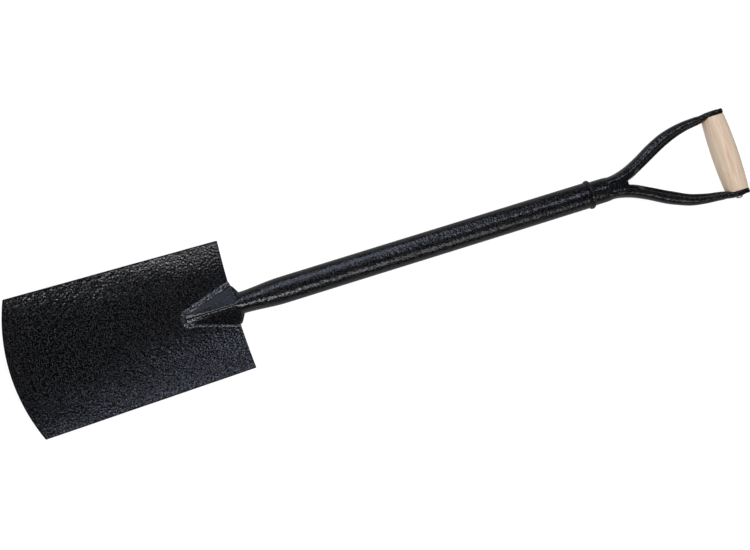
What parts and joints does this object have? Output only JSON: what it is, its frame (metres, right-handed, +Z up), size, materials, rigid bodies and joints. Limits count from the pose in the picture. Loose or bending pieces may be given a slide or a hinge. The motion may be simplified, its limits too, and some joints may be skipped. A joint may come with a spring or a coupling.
{
  "type": "garden spade",
  "caption": "All-steel digging spade with a dished square blade, a tubular shaft and a split-tube handle with a turned wooden grip.",
  "frame": {"origin": "on the floor under the middle of the spade's length and width, with the spade lying on its back", "axes": "+X along the shaft from the cutting edge to the handle, +Y across, +Z up, the way the blade's hollow front faces"},
  "size_m": [1.0001, 0.178, 0.0599],
  "materials": {
    "hammered_black_paint": "black hammertone paint, glossy, with fine dimples",
    "painted_weld": "the same black paint over rippled weld metal",
    "grip_wood": "pale unvarnished ash, fine grain along the grip",
    "rivet_steel": "bare bright steel with a hammered head"
  },
  "bodies": {
    "root": {"blade": "hammered_black_paint", "shaft_tube": "hammered_black_paint", "front_socket_weld": "painted_weld", "rear_socket_weld": "painted_weld", "collar_weld": "painted_weld", "handle_yoke": "hammered_black_paint", "crotch_weld": "painted_weld", "grip": "grip_wood", "grip_rivet": "rivet_steel"}
  },
  "joints": []
}
